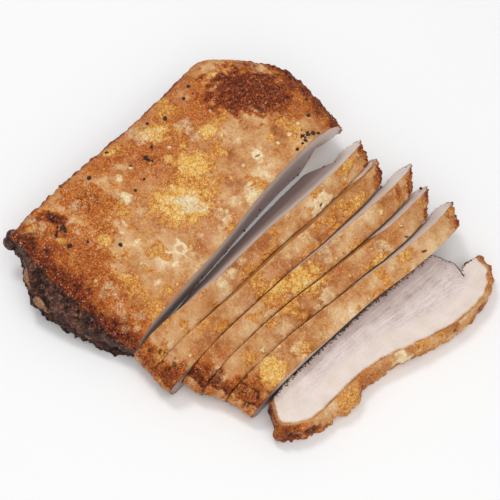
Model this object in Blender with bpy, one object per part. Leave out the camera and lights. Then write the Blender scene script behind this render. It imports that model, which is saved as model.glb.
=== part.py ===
"""Roast pork belly with a crackling rind: an uncut block, five slices standing beside it and one slice lying down.

Every piece is a box cut into columns, levels and strips, whose points a function then moves into place. Sizes in
the constants are millimetres. +Z is up, the cuts run along Y, and the row of slices runs along +X."""

import math
from functools import partial

import bmesh
import bpy
from mathutils import Matrix

MM = 0.001
LEVELS = 4                 # rows of faces up the cut faces
GAP = 0.5                  # between two cut faces that lie against each other

# The section that a cut shows. Places along it are shares of its length, from the near end to the far end.
NEAR_ROUND = 0.13          # share of the length over which the near end gains its height
EDGE_HEIGHT = 5.0          # height of the near end's blunt edge
UNDERCUT = 0.03            # the near end slopes in under the rind over this share
RISE = (0.33, 0.78)        # the meat thickens between these shares
CURL_START = 0.80          # the rind bends down from here on
CURL_DROP = 19.5
FOOT_END = 0.845           # the meat leaves the board here
NOTCH = 0.895              # fold between the meat's far end and the curled rind
NOTCH_HEIGHT = 24.0
CURL_HANG = 5.5            # the curl hangs this far below the fold

# The near end's height, the thin middle's and the far bulge's, at the block's left side and at its cut side.
LEFT_SECTION = (37.0, 42.0, 46.0)
CUT_SECTION = (17.0, 28.0, 44.5)
SWELL = 0.9                # the rind's uneven rise and fall

# The block: its corners as seen from above, at the rind.
BLOCK_LEFT = -113.0
BLOCK_LEFT_WIDEN = (4.5, 6.0)   # the left side widens by these, up to its middle and up to its far corner
BLOCK_NEAR = (-108.0, -101.5)   # Y at the left side and at the cut
BLOCK_FAR = (109.0, 107.5)
BLOCK_FAR_BOW = 7.5        # the far edge bulges by this in its middle
BLOCK_SNUB = (136.0, 0.75)    # the far left corner is blunt: distance out along the diagonal, share taken off
BLOCK_CUT_SHIFT = 21.0     # the cut's far end lies this far left of its near end
BLOCK_CUT_POWER = 1.6
BLOCK_CUT_LEAN = 9.0       # degrees that the cut slopes in towards the foot
BLOCK_SIDE_ROUND = (8.0, 4.0)   # rounding of the left side, at the rind and at the foot
BLOCK_SIDE_UNDER = (36.0, 12.0)   # the left side's foot lies this far in under the rind, near and far
BLOCK_TOE = 26.0           # the charred near end's foot stands out this far, and not at the cut
BLOCK_TOE_STARTS = ((-0.2, 0.2), (0.1, 0.5))    # shares across over which it does so, at the foot and at the rind
BLOCK_STRIPS = (0.015, 0.045, 0.09, 0.16, 0.25, 0.34, 0.43, 0.52, 0.61, 0.70, 0.79, 0.88, 0.95)

# The surfaces between the slices, from the block outwards: X of the foot at three places along Y, then the lean
# towards +X at the same places in degrees.
BETWEEN_Y = (-100.0, -32.0, 108.0)
BETWEEN = (
    ((-1.2, -14.0, -25.0), (6.0, 31.0, 37.0)),
    ((15.5, 3.0, -7.0), (7.0, 29.0, 36.0)),
    ((32.5, 20.5, 13.5), (7.0, 24.5, 34.0)),
    ((47.0, 37.0, 33.0), (5.0, 20.0, 33.0)),
    ((61.5, 55.0, 52.0), (5.0, 17.0, 33.0)),
    ((80.2, 77.5, 71.5), (6.0, 8.0, 29.0)),
)
# Each slice: Y of its near end and its far end, how much its far end opens away from the next slice, and how far
# its near and its far end slant back from one face to the other.
STANDING = (
    (-101.5, 106.0, 0.0, 0.0, 5.0),
    (-102.5, 102.0, 2.0, 0.0, 9.0),
    (-88.0, 112.0, 2.0, -2.0, 12.0),
    (-82.0, 106.0, 2.0, -6.0, 12.0),
    (-76.0, 111.0, 0.0, -4.0, 4.0),
)
TILT_FROM = 12.0           # above this height a slice's rind is square to its faces, below it the foot lies flat

# The slice that lies on its side against the last standing one.
LYING_FOOT = (82.3, -71.0)      # its near foot corner
LYING_LENGTH = 175.0
LYING_TURN = -1.6          # degrees
LYING_THICK = 15.5
LYING_BOW = -2.5


def smoothstep(low, high, value):
    share = min(max((value - low) / (high - low), 0.0), 1.0)
    return share * share * (3 - 2 * share)


def mix(start, end, share):
    return start + (end - start) * share


def along_three(values, y):
    """A smooth value along the cuts, given at the three places of BETWEEN_Y."""
    near, third, far = values
    near_y, third_y, far_y = BETWEEN_Y
    first = smoothstep(near_y, third_y, y)
    rest = math.sin(math.pi / 2 * min(max((y - third_y) / (far_y - third_y), 0.0), 1.0))
    return near + (third - near) * first + (far - third) * rest


def rind_height(share, near, middle, bulge):
    """Height of the section's top, without the tilt of a leaning slice."""
    height = mix(middle, bulge, smoothstep(*RISE, share))
    if share < NEAR_ROUND:
        height -= (middle - near) * (1 - share / NEAR_ROUND) ** 2
    if share > CURL_START:
        curl = min((share - CURL_START) / (1 - CURL_START), 1.0)
        height -= CURL_DROP * (1 - math.sqrt(1 - curl * curl))
    return height


def foot_height(share, near):
    """Height of the section's underside: the near undercut, the flat foot, the meat's far end and the rind's curl."""
    if share < UNDERCUT:
        return (near - EDGE_HEIGHT) * (1 - share / UNDERCUT)
    if share < FOOT_END:
        return 0.0
    if share < NOTCH:
        return NOTCH_HEIGHT * ((share - FOOT_END) / (NOTCH - FOOT_END)) ** 1.5
    hang = (share - NOTCH) / (1 - NOTCH)
    return NOTCH_HEIGHT - CURL_HANG * math.sin(math.pi * 0.85 * hang)


def swell(x, y):
    """Low waves over the rind, which pass from piece to piece."""
    return SWELL * (math.sin(x / 13.0 + 1.0) * math.sin(y / 21.0) + 0.6 * math.sin(y / 9.5 + x / 17.0))


def column_shares():
    """Places of the columns along a cut, closer together at both ends."""
    shares = [mix(0.06, CURL_START, i / 15) for i in range(16)]
    ends = [0.012, UNDERCUT, 0.045, 0.825, FOOT_END, 0.858, 0.872, 0.884, NOTCH, 0.91, 0.93, 0.95, 0.97, 0.988]
    return sorted(shares + ends)


def between(index, y):
    """Foot and slope of the surface between two slices."""
    foot, lean = BETWEEN[index]
    return along_three(foot, y), math.tan(math.radians(along_three(lean, y)))


def cut_shift(share):
    return -BLOCK_CUT_SHIFT * (1 - (1 - share) ** BLOCK_CUT_POWER)


def place_in_block(across, share, level):
    """across runs from the left side, 0, to the cut, 1; share along the cut; level from the foot to the rind."""
    near, middle, bulge = (mix(*pair, across) for pair in zip(LEFT_SECTION, CUT_SECTION))
    top = rind_height(share, near, middle, bulge)
    bottom = foot_height(share, near)
    side = max(1 - across / BLOCK_STRIPS[3], 0.0)
    rounded = 1 - math.sqrt(1 - side * side)
    top -= BLOCK_SIDE_ROUND[0] * rounded
    bottom = max(bottom, BLOCK_SIDE_ROUND[1] * rounded)
    z = mix(bottom, top, level)
    cut_x = cut_shift(share) - (rind_height(share, near, middle, bulge) - z) * math.tan(math.radians(BLOCK_CUT_LEAN))
    left_x = BLOCK_LEFT - BLOCK_LEFT_WIDEN[0] * smoothstep(0.0, 0.5, share)
    left_x -= BLOCK_LEFT_WIDEN[1] * smoothstep(0.5, 0.85, share)
    left_x += mix(*BLOCK_SIDE_UNDER, share) * (1 - level) ** 1.5
    x = mix(left_x, cut_x, across)
    far_y = mix(*BLOCK_FAR, across) + BLOCK_FAR_BOW * math.sin(math.pi * across)
    y = mix(mix(*BLOCK_NEAR, across), far_y, share)
    toe_from, toe_to = (mix(*pair, level) for pair in zip(*BLOCK_TOE_STARTS))
    toe = BLOCK_TOE * smoothstep(toe_from, toe_to, across) * (1 - across ** 2.2) * max(1 - share / 0.15, 0.0) ** 2
    y -= toe * (1 - level) ** 0.7
    over = BLOCK_SNUB[1] * max((y - x) * math.sqrt(0.5) - BLOCK_SNUB[0], 0.0) * math.sqrt(0.5)
    x, y = x + over, y - over
    inner = smoothstep(0.0, 0.15, share) * (1 - smoothstep(0.8, 0.95, share))
    return x, y, z + swell(x, y) * level * inner


def place_in_slice(index, across, share, level):
    """A slice that stands and leans. across runs from its upper-left face, 0, to its lower-right face, 1."""
    near_y, far_y, opening, near_slant, far_slant = STANDING[index]
    y = mix(near_y, far_y, share) - mix(near_slant, far_slant, share) * (across - 0.5)
    left_foot, left_slope = between(index, y)
    right_foot, right_slope = between(index + 1, y)
    right_foot -= opening * smoothstep(0.45, 1.0, share)
    lean = math.atan(mix(left_slope, right_slope, across))
    top = rind_height(share, *CUT_SECTION)
    height = mix(foot_height(share, CUT_SECTION[0]), top, level)
    thick = (right_foot - left_foot) * math.cos(lean)
    z = height * math.cos(lean) - (across - 0.5) * thick * math.sin(lean) * smoothstep(0.0, TILT_FROM, height)
    left_x = left_foot + GAP / 2 + z * left_slope
    right_x = right_foot - GAP / 2 + z * right_slope
    x = mix(left_x, right_x, across)
    inner = smoothstep(0.0, 0.15, share) * (1 - smoothstep(0.8, 0.95, share))
    return x, y, z + swell(x, y) * level * inner


def place_lying(across, share, level):
    """The slice on its side: it has tipped over towards +X, so its upper-left face looks up."""
    top = rind_height(share, *CUT_SECTION)
    height = mix(foot_height(share, CUT_SECTION[0]), top, level) + LYING_BOW * math.sin(math.pi * share)
    along = share * LYING_LENGTH
    turn = math.radians(LYING_TURN)
    x = LYING_FOOT[0] + height * math.cos(turn) - along * math.sin(turn)
    y = LYING_FOOT[1] + height * math.sin(turn) + along * math.cos(turn)
    return x, y, (1 - across) * LYING_THICK


def material(name, colour, roughness):
    finish = bpy.data.materials.new(name)
    finish.use_nodes = True
    shader = finish.node_tree.nodes["Principled BSDF"]
    shader.inputs["Base Color"].default_value = (*colour, 1.0)
    shader.inputs["Roughness"].default_value = roughness
    shader.inputs["Metallic"].default_value = 0.0
    return finish


def shaped_box(name, strips, levels, place, finish):
    """A unit box cut at the strips (X), the columns (Y) and the levels (Z), with each point moved by place."""
    mesh = bmesh.new()
    bmesh.ops.create_cube(mesh, size=1.0)
    bmesh.ops.translate(mesh, verts=mesh.verts, vec=(0.5, 0.5, 0.5))
    cuts = [((share, 0, 0), (1, 0, 0)) for share in strips]
    cuts += [((0, share, 0), (0, 1, 0)) for share in column_shares()]
    cuts += [((0, 0, i / levels), (0, 0, 1)) for i in range(1, levels)]
    for point, normal in cuts:
        everything = mesh.verts[:] + mesh.edges[:] + mesh.faces[:]
        bmesh.ops.bisect_plane(mesh, geom=everything, plane_co=point, plane_no=normal, dist=1e-6)
    for vertex in mesh.verts:
        vertex.co = [MM * value for value in place(*vertex.co)]
    bmesh.ops.triangulate(mesh, faces=mesh.faces)
    data = bpy.data.meshes.new(name)
    mesh.to_mesh(data)
    mesh.free()
    data.materials.append(finish)
    piece = bpy.data.objects.new(name, data)
    bpy.context.scene.collection.objects.link(piece)
    return piece


def centre_over_origin(pieces):
    """Moves the pieces' points so that the middle of their common box, seen from above, is the origin."""
    points = [vertex.co for piece in pieces for vertex in piece.data.vertices]
    middle = [(min(p[axis] for p in points) + max(p[axis] for p in points)) / 2 for axis in (0, 1)]
    for piece in pieces:
        piece.data.transform(Matrix.Translation((-middle[0], -middle[1], 0.0)))


def make_all():
    rind = material("toasted rind", (0.46, 0.22, 0.07), 0.45)
    meat = material("roast fat and lean", (0.72, 0.58, 0.50), 0.40)
    pieces = [shaped_box("block", BLOCK_STRIPS, LEVELS, place_in_block, rind)]
    for index in range(len(STANDING)):
        pieces.append(shaped_box(f"slice_{index + 1}", (0.5,), LEVELS, partial(place_in_slice, index), rind))
    pieces.append(shaped_box("slice_6", (0.5,), LEVELS, place_lying, meat))
    centre_over_origin(pieces)


for leftover in list(bpy.data.objects):
    bpy.data.objects.remove(leftover)
make_all()
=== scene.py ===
# Roast pork belly, carved part way: an uncut block with its crackling, five slices standing against it and
# one slice lying on its side. Sizes are millimetres in the joint's own frame: the cuts run along Y and the
# row of slices along X, and the frame's shift is worked out from the CAD box.
import itertools
import math
import random
from functools import partial
from types import SimpleNamespace

import bpy
import numpy as np
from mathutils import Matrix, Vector


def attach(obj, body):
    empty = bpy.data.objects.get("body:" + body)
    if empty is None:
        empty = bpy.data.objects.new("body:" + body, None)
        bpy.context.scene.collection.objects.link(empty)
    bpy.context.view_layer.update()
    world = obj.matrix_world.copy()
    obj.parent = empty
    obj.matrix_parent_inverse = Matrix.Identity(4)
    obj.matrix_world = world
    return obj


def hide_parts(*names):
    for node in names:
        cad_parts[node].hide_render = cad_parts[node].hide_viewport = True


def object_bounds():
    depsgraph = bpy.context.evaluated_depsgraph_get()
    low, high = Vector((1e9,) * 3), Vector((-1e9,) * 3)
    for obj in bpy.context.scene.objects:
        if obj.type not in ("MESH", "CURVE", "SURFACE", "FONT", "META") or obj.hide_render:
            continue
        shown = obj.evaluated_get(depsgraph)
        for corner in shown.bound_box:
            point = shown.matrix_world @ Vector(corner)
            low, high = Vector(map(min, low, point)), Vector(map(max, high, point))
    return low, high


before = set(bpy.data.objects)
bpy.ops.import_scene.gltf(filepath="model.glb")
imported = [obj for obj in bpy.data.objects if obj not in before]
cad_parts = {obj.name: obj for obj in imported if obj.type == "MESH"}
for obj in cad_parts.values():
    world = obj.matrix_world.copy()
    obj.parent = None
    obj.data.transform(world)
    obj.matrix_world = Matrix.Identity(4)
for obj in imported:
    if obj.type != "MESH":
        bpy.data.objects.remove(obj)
cadLow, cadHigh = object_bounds()
print("frame loaded:", sorted(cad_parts))

mm = 0.001
joint = {
    "left": -123.17,   # the joint's own X at the lowest X of the CAD box
    "far": 118.0,      # its own Y at the highest Y
}
frameShift = Vector((cadLow.x - joint["left"] * mm, cadHigh.y - joint["far"] * mm, 0.0))


# small helpers for numbers over a whole mesh
def mix(start, end, share):
    return start + (end - start) * share


def ease(low, high, value):
    share = np.clip((value - low) / (high - low), 0.0, 1.0)
    return share * share * (3 - 2 * share)


def fade(low, high, value):
    return 1 - ease(low, high, value)


def unit(vectors):
    return vectors / np.maximum(np.linalg.norm(vectors, axis=-1, keepdims=True), 1e-9)


def cellRandom(cells, seed):
    # a number from 0 to 1 that belongs to each whole-number cell
    mask = np.uint64(0xFFFFFFFF)
    steps = np.array((73856093, 19349663, 83492791), np.int64)
    bits = ((cells.astype(np.int64) @ steps) + seed * 7919 + 1013904223).astype(np.uint64) & mask
    for factor in (2246822519, 3266489917):
        bits = ((bits ^ (bits >> np.uint64(15))) * np.uint64(factor)) & mask
    return (bits ^ (bits >> np.uint64(16))).astype(float) / 4294967295.0


def softNoise(points, size, seed):
    # smooth noise from -1 to 1 with lumps of that size
    scaled = points / size
    base = np.floor(scaled)
    part = scaled - base
    part = part ** 3 * (part * (part * 6 - 15) + 10)
    total = 0.0
    for corner in itertools.product((0, 1), repeat=3):
        weight = np.prod(np.where(np.array(corner, bool), part, 1 - part), axis=-1)
        total = total + weight * cellRandom(base + corner, seed)
    return total * 2 - 1


def roughNoise(points, size, layers, seed):
    # layers of noise, each half the size and half the strength of the one before
    parts = [softNoise(points, size / 2 ** i, seed + i) * 0.5 ** i for i in range(layers)]
    return sum(parts) / sum(0.5 ** i for i in range(layers))


def cellBumps(points, size, seed):
    # distance to the nearest scattered centre, in sizes, and that centre's own random number
    scaled = points / size
    base = np.floor(scaled)
    nearest = np.full(len(points), 9.0)
    number = np.zeros(len(points))
    for shift in itertools.product((-1, 0, 1), repeat=3):
        cell = base + shift
        spot = cell + np.stack([cellRandom(cell, seed + axis) for axis in (1, 2, 3)], -1)
        distance = np.linalg.norm(scaled - spot, axis=-1)
        closer = distance < nearest
        nearest = np.where(closer, distance, nearest)
        number = np.where(closer, cellRandom(cell, seed + 4), number)
    return nearest, number


def dome(distance, radius):
    return np.sqrt(np.clip(1 - (distance / radius) ** 2, 0, 1))


# the section that every cut shows
section = {
    "nearRound": 0.13,         # share of the length over which the near end gains its height
    "edgeHeight": 5.0,         # the near end's blunt edge
    "undercut": (6.2, 0.12),   # the near end's foot lies this far in, less and less up to this share
    "rise": (0.33, 0.78),      # the meat thickens between these shares
    "curlStart": 0.80,         # the rind bends down from here on
    "curlDrop": 19.5,
    "footEnd": 0.845,          # the meat leaves the board
    "notch": 0.895,            # fold between the meat's far end and the curl
    "notchHeight": 24.0,
    "curlHang": 5.5,
    "left": (37.0, 42.0, 46.0),    # heights near, middle and far at the block's left side
    "cut": (17.0, 28.0, 44.5),     # and at every cut
    "swell": 0.9,
}


def rindHeight(share, near, middle, bulge):
    height = mix(middle, bulge, ease(*section["rise"], share))
    height = height - (middle - near) * np.clip(1 - share / section["nearRound"], 0, 1) ** 2
    curl = np.clip((share - section["curlStart"]) / (1 - section["curlStart"]), 0, 1)
    return height - section["curlDrop"] * (1 - np.sqrt(1 - curl * curl))


def footHeight(share):
    climb = np.clip((share - section["footEnd"]) / (section["notch"] - section["footEnd"]), 0, 1) ** 1.5
    hang = np.clip((share - section["notch"]) / (1 - section["notch"]), 0, 1)
    return section["notchHeight"] * climb - section["curlHang"] * np.sin(math.pi * 0.85 * hang)


def undercut(height, share, near):
    # how far the near end lies back, at a height
    back = np.clip(1 - height / (near - section["edgeHeight"]), 0, 1)
    depth, end = section["undercut"]
    return depth * back * np.clip(1 - share / end, 0, 1)


def cutPoint(share, level):
    # a point of the section that the cuts show: its height, and how far the undercut shifts it along
    near, middle, bulge = section["cut"]
    height = mix(footHeight(share), rindHeight(share, near, middle, bulge), level)
    return height, undercut(height, share, near)


def swelled(x, y, z, share, level):
    # the rind's slow swells, which fade towards the ends and the foot
    waves = np.sin(x / 13 + 1) * np.sin(y / 21) + 0.6 * np.sin(y / 9.5 + x / 17)
    ends = ease(0.0, 0.15, share) * fade(0.8, 0.95, share)
    return np.stack([x, y, z + section["swell"] * waves * level * ends], -1)


def sectionFields(share, level, length):
    # for each point of the section: its distance from the rind, from the foot and from the near end, the
    # direction out of the nearest edge, as along and up, and how far along it lies
    def flat(shares, levels):
        height, shift = cutPoint(shares, levels)
        return np.stack([shares * length + shift, height], -1)

    steps = np.linspace(0, 1, 321)[:-1]
    side = np.linspace(0, 1, 33)[:-1]
    runs = (
        (np.zeros_like(side), side), (steps, np.ones_like(steps)),
        (np.ones_like(side), 1 - side), (1 - steps, np.zeros_like(steps)),
    )
    edge = np.concatenate([flat(*run) for run in runs])
    kind = np.concatenate([np.full(len(run[0]), i) for i, run in enumerate(runs)])
    tangent = sum(np.roll(edge, -k, 0) - np.roll(edge, k, 0) for k in (1, 2, 3))
    outward = unit(np.stack([-tangent[:, 1], tangent[:, 0]], -1))
    keys = np.round(share * 1e5) * 1e6 + np.round(level * 1e5)
    _, first, back = np.unique(keys, return_index=True, return_inverse=True)
    spots = flat(share[first], level[first])
    reach = np.linalg.norm(spots[:, None] - edge[None], axis=-1)
    nearEnd, rind, foot = (reach[:, np.isin(kind, edges)].min(1) for edges in ((0,), (1, 2), (3,)))
    return rind[back], foot[back], nearEnd[back], outward[reach.argmin(1)][back], spots[back, 0]


# marks on the rind, by kind: X, Y, half length, half width, turn, strength, raise
rindMarks = {
    # browned: the far corner's patch, the folded blister and the dimple by the left corner, the edges
    "toast": (
        (-78, 78, 45, 26, 45, 1.12, 0.3), (-96, 92, 14, 14, 0, 0.7, 0.0), (-40, 87, 6, 4, 45, 0.6, 0.3),
        (-98, -80, 13, 6, 30, 1.1, -2.0), (-98, 72, 8, 4, 60, 1.0, -0.8), (-66, -86, 50, 22, 0, 0.6, 0.2),
        (-98, -96, 22, 16, 0, 0.5, 0.2), (-91, -57, 30, 22, 45, 0.6, 2.6), (-104, -20, 10, 50, 0, 0.5, 0.0),
        (-55, 92, 44, 24, 45, 0.5, 0.0), (-70, -62, 10, 9, 0, 0.6, 0.4), (-92, 20, 28, 75, 0, 0.46, 0.0),
        (-88, -6, 12, 7, 20, 0.6, 0.2), (-42, -84, 22, 14, 0, 0.38, 0.0), (-80, -8, 12, 5, 0, 0.4, 0.0),
        (-62, -58, 8, 4, 30, 0.35, 0.0), (44, 92, 3, 5, 40, 0.9, -0.3), (54, 26, 6, 6, 0, 0.4, 0.0),
        (19, 80, 5, 12, 0, 0.4, 0.0), (66, 66, 5, 9, 0, 0.45, 0.0), (43, -66, 6, 7, 0, 0.5, 0.0),
    ),
    # puffed up blisters
    "gold": (
        (-104, 69, 5, 3, 45, 0.9, 0.4), (-49, -12, 23, 18, 45, 1.0, 1.3), (-65, 12, 15, 10, 45, 1.15, 1.1),
        (-77, 3, 5, 4, 45, 0.8, 0.5), (-99, 9, 13, 8, 45, 1.0, 0.8), (-74, 35, 10, 7, 45, 1.0, 0.7),
        (-66, 40, 2, 4, 45, 0.9, 0.4), (-41, 60, 3, 5, 45, 0.8, 0.4), (-55, 31, 4, 3, 45, 0.7, 0.4),
        (-79, 16, 3, 3, 0, 0.7, 0.3), (-63, -67, 5, 5, 0, 0.8, 0.5), (-100, -98, 6, 6, 0, 0.9, 0.7),
        (-82, -87, 5, 3, 45, 0.8, 0.6), (-37, -75, 5, 4, 45, 0.8, 0.5), (-12, -60, 4, 3, 45, 0.7, 0.3),
        (-109, -21, 7, 5, 45, 0.7, 0.5), (-24, -30, 2, 2, 0, 0.8, 0.3), (44, 5, 14, 12, 60, 1.15, 1.1),
        (34, -10, 9, 8, 60, 1.1, 0.9), (73, -53, 10, 12, 60, 1.15, 1.0), (70, 48, 6.5, 5, 60, 0.8, 0.5),
        (53, 46, 8, 5, 60, 0.9, 0.6), (6, 84, 5, 11, 20, 0.8, 0.4), (30, 70, 5, 12, 0, 0.7, 0.3),
        (80, 58, 5, 10, 0, 0.6, 0.3), (58, -56, 6, 8, 0, 0.6, 0.3), (20, -62, 6, 10, 0, 0.5, 0.3),
    ),
    # cream spots
    "cream": (
        (-47, -10, 14, 8, 40, 0.85, 0.2), (-21, 23, 8, 10, 45, 0.75, 0.4), (-34, 71, 2, 2, 0, 1.0, 0.4),
        (-54, 44, 3, 4, 45, 0.7, 0.3), (-84, 9, 3, 2, 45, 0.7, 0.3), (-49, -53, 5, 4.5, 0, 0.8, 0.5),
        (-77, -36, 4, 6, 45, 1.2, 0.6), (-61, -55, 2, 2, 0, 1.0, 0.5), (-64, -49, 3, 2, 0, 0.6, 0.3),
        (-40, -86, 4, 4, 0, 0.6, 0.2), (-33, -87, 4, 3, 0, 0.6, 0.2), (-21, -62, 3, 3, 0, 0.6, 0.3),
        (-91, -30, 3, 4, 45, 0.8, 0.5), (-38, 45, 4, 6.5, 45, 1.0, 0.9), (-22, -45, 1.4, 4, 0, 1.1, 0.4),
        (-30, -42, 4, 1.4, 45, 1.1, 0.4), (-32, -33, 4, 1.6, -20, 1.0, 0.4), (61, 8, 6, 7, 60, 0.6, 0.3),
        (14, 52, 6, 13, 20, 1.2, 0.8), (6, -22, 6, 4, 60, 0.7, 0.3), (6, -32, 6, 4, 60, 0.7, 0.3),
        (75, -32, 7, 8, 60, 0.5, 0.2), (58, -30, 6, 9, 0, 0.5, 0.2), (20, 5, 6, 12, 0, 0.4, 0.2),
    ),
    # greyish pink skin that stayed smooth
    "pink": (
        (-44, 14, 7, 6, 0, 0.8, -0.2), (-23, -15, 6, 10, 40, 0.7, -0.2), (29, -29, 7, 5, 90, 0.6, -0.2),
        (-34, -40, 12, 9, 0, 0.3, 0.0),
    ),
}


def markShare(points, x, y, halfLength, halfWidth, turn, warp):
    turn = math.radians(turn)
    dx, dy = points[:, 0] - x, points[:, 1] - y
    along = dx * math.cos(turn) + dy * math.sin(turn)
    beside = -dx * math.sin(turn) + dy * math.cos(turn)
    return fade(0.35, 1.2, np.hypot(along / halfLength, beside / halfWidth) + warp)


def deepen(field, kind, values):
    field[kind] = np.maximum(field[kind], values)


def placedMarks(points, field, warp):
    rise = np.zeros(len(points))
    for kind, marks in rindMarks.items():
        for *outline, strength, lift in marks:
            share = markShare(points, *outline, warp)
            deepen(field, kind, share * strength)
            rise += share * lift
            if kind == "gold":      # browner all round
                halo = ease(0.0, 0.12, share) * fade(0.2, 0.5, share)
                deepen(field, "toast", halo * rindRelief["halo"] * strength)
    return rise


ringMark = {"at": (-27.6, -35.7), "inner": 2.3, "outer": 4.3, "raise": 0.8}


def ringRise(points, field, warp):
    x, y = ringMark["at"]
    inner, outer = ringMark["inner"], ringMark["outer"]
    ring = np.hypot(points[:, 0] - x, points[:, 1] - y) + warp * 2.2
    rim = ease(inner - 0.4, inner + 0.4, ring) * fade(outer - 0.6, outer + 0.6, ring)
    deepen(field, "cream", rim * 1.5)
    deepen(field, "pink", fade(inner - 0.6, inner, ring))
    return rim * ringMark["raise"] - 0.5 * fade(0.5, inner, ring)


# a blister that fell in folds
foldMark = {"at": (-91.0, -57.0), "reach": 17.0, "folds": 6, "depth": 2.8}


def foldRise(points, field):
    dx, dy = points[:, 0] - foldMark["at"][0], points[:, 1] - foldMark["at"][1]
    distance = np.hypot(dx, dy)
    around = np.arctan2(dy, dx) * foldMark["folds"] + 2.2 * softNoise(points, 9.0, 15)
    within = fade(0.2, 1.0, distance / foldMark["reach"]) * ease(0.5, 4.0, distance)
    crease = np.clip(-np.cos(around), 0, 1) ** 2.5 * within
    # painted shade down in the fold's creases
    deepen(field, "pit", crease * 0.6)
    return -crease * foldMark["depth"]


slits = {
    "half": (2.6, 0.75), "depth": 0.8,
    "places": ((-37.5, 44.5, 75.0), (14.5, 50.5, 110.0), (70.2, 72.6, 60.0), (86.0, 70.5, 70.0)),
}


def slitRise(points, field, warp):
    rise = np.zeros(len(points))
    for x, y, turn in slits["places"]:
        slit = markShare(points, x, y, *slits["half"], turn, warp * 0.5)
        # painted shade down in each slit
        deepen(field, "pit", slit)
        rise -= slit * slits["depth"]
    return rise


rindRelief = {
    "ragged": 0.3,             # how uneven the marks' outlines are
    "halo": 0.34,              # how brown the skin is round a blister
    "wrinkle": 0.35,           # height of the skin's fine folds
    "blister": 0.7,            # height of the scattered small blisters
    "blisterSize": 9.0,
    "wave": 0.55,              # height of the broad unevenness
    "pebble": 0.45,            # height of the small pebbles
    "pebbleSize": 4.6,
    "bubble": 0.34,            # height of the crackling's bubbles
    "bubbleSize": 2.3,
}


def rindField(points, edgeToast, placed=True):
    # how the rind rises at each point, and its looks there
    relief = rindRelief
    field = {kind: np.zeros(len(points)) for kind in ("toast", "gold", "cream", "pink", "pit")}
    rise = np.zeros(len(points))
    if placed:
        warp = relief["ragged"] * (softNoise(points, 4.0, 11) + 0.6 * softNoise(points, 1.8, 12))
        rise += placedMarks(points, field, warp) + ringRise(points, field, warp)
        rise += foldRise(points, field) + slitRise(points, field, warp)
    deepen(field, "toast", edgeToast)
    # patches that the heat left here and there
    deepen(field, "gold", 0.55 * ease(0.12, 0.5, roughNoise(points, 15.0, 3, 21)))
    deepen(field, "cream", 0.5 * ease(0.15, 0.55, roughNoise(points, 13.0, 3, 31)))
    deepen(field, "toast", 0.3 * ease(0.05, 0.5, -roughNoise(points, 24.0, 3, 35)))
    # fine folds of the skin, like worms
    worm = 1 - np.clip(np.abs(roughNoise(points, 7.0, 2, 131)) * 9, 0, 1)
    worm = worm * ease(0.0, 0.4, softNoise(points, 16.0, 133)) * (1 - edgeToast)
    rise += worm * relief["wrinkle"]
    deepen(field, "pink", worm * 0.5)
    distance, number = cellBumps(points, relief["blisterSize"], 41)
    distance = distance + 0.09 * softNoise(points, 2.0, 43)
    blister = dome(distance, 0.12 + 0.16 * (number - 0.5)) * (number > 0.55)
    deepen(field, "cream", blister * 0.8 * (number > 0.86))
    deepen(field, "gold", blister * 0.9)
    rise += blister * relief["blister"] + roughNoise(points, 9.0, 3, 51) * relief["wave"]
    toast, gold = field["toast"], field["gold"]
    distance, number = cellBumps(points, relief["pebbleSize"], 61)
    rise += dome(distance, 0.62) * number * relief["pebble"] * (0.35 + gold + 0.5 * toast)
    distance, number = cellBumps(points, relief["bubbleSize"], 71)
    rise += dome(distance, 0.6) * (0.3 + 0.7 * number) * relief["bubble"] * (0.25 + 0.9 * toast + 0.6 * gold)
    return rise, field


def bisect(piece, planes, **settings):
    # cuts the mesh along planes, each a place and a direction
    bpy.context.view_layer.objects.active = piece
    bpy.ops.object.mode_set(mode="EDIT")
    for place, normal in planes:
        bpy.ops.mesh.select_all(action="SELECT")
        bpy.ops.mesh.bisect(plane_co=place, plane_no=normal, **settings)
    bpy.ops.object.mode_set(mode="OBJECT")


def gridBox(name, *cuts):
    # a box from 0 to 1, cut at the shares given for its three axes and then evenly finer
    bpy.ops.object.select_all(action="DESELECT")
    bpy.ops.mesh.primitive_cube_add(size=1, location=(0.5, 0.5, 0.5))
    piece = bpy.context.object
    piece.name = piece.data.name = name
    bpy.ops.object.transform_apply(location=True, rotation=False, scale=False)
    axes = ((1, 0, 0), (0, 1, 0), (0, 0, 1))
    bisect(piece, [(Vector(axis) * share, axis) for axis, shares in zip(axes, cuts) for share in shares])
    finer = piece.modifiers.new("finer", "SUBSURF")
    finer.subdivision_type = "SIMPLE"
    finer.levels = finer.render_levels = 3
    bpy.ops.object.modifier_apply(modifier=finer.name)
    return piece


def evenShares(count):
    return [i / count for i in range(1, count)]


def columnShares():
    # close together where the section turns
    even = [mix(0.045, 0.80, i / 24) for i in range(25)]
    return [0.008, 0.022] + even + [0.825, 0.85, 0.87, 0.89, 0.91, 0.93, 0.948, 0.965, 0.98, 0.992]


def read(collection, name):
    # three numbers for each vertex or face
    values = np.empty(len(collection) * 3, np.float32)
    collection.foreach_get(name, values)
    return values.reshape(-1, 3).astype(float)


def writePoints(piece, points):
    scaled = (points * mm + np.array(frameShift)).astype(np.float32)
    piece.data.vertices.foreach_set("co", scaled.ravel())
    piece.data.update()


def writeAttribute(piece, name, *parts):
    # three numbers for each point, or four as a colour
    kind, values = ("FLOAT_COLOR", "color") if len(parts) == 4 else ("FLOAT_VECTOR", "vector")
    made = piece.data.attributes.new(name, kind, "POINT")
    made.data.foreach_set(values, np.stack(parts, -1).astype(np.float32).ravel())


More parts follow.
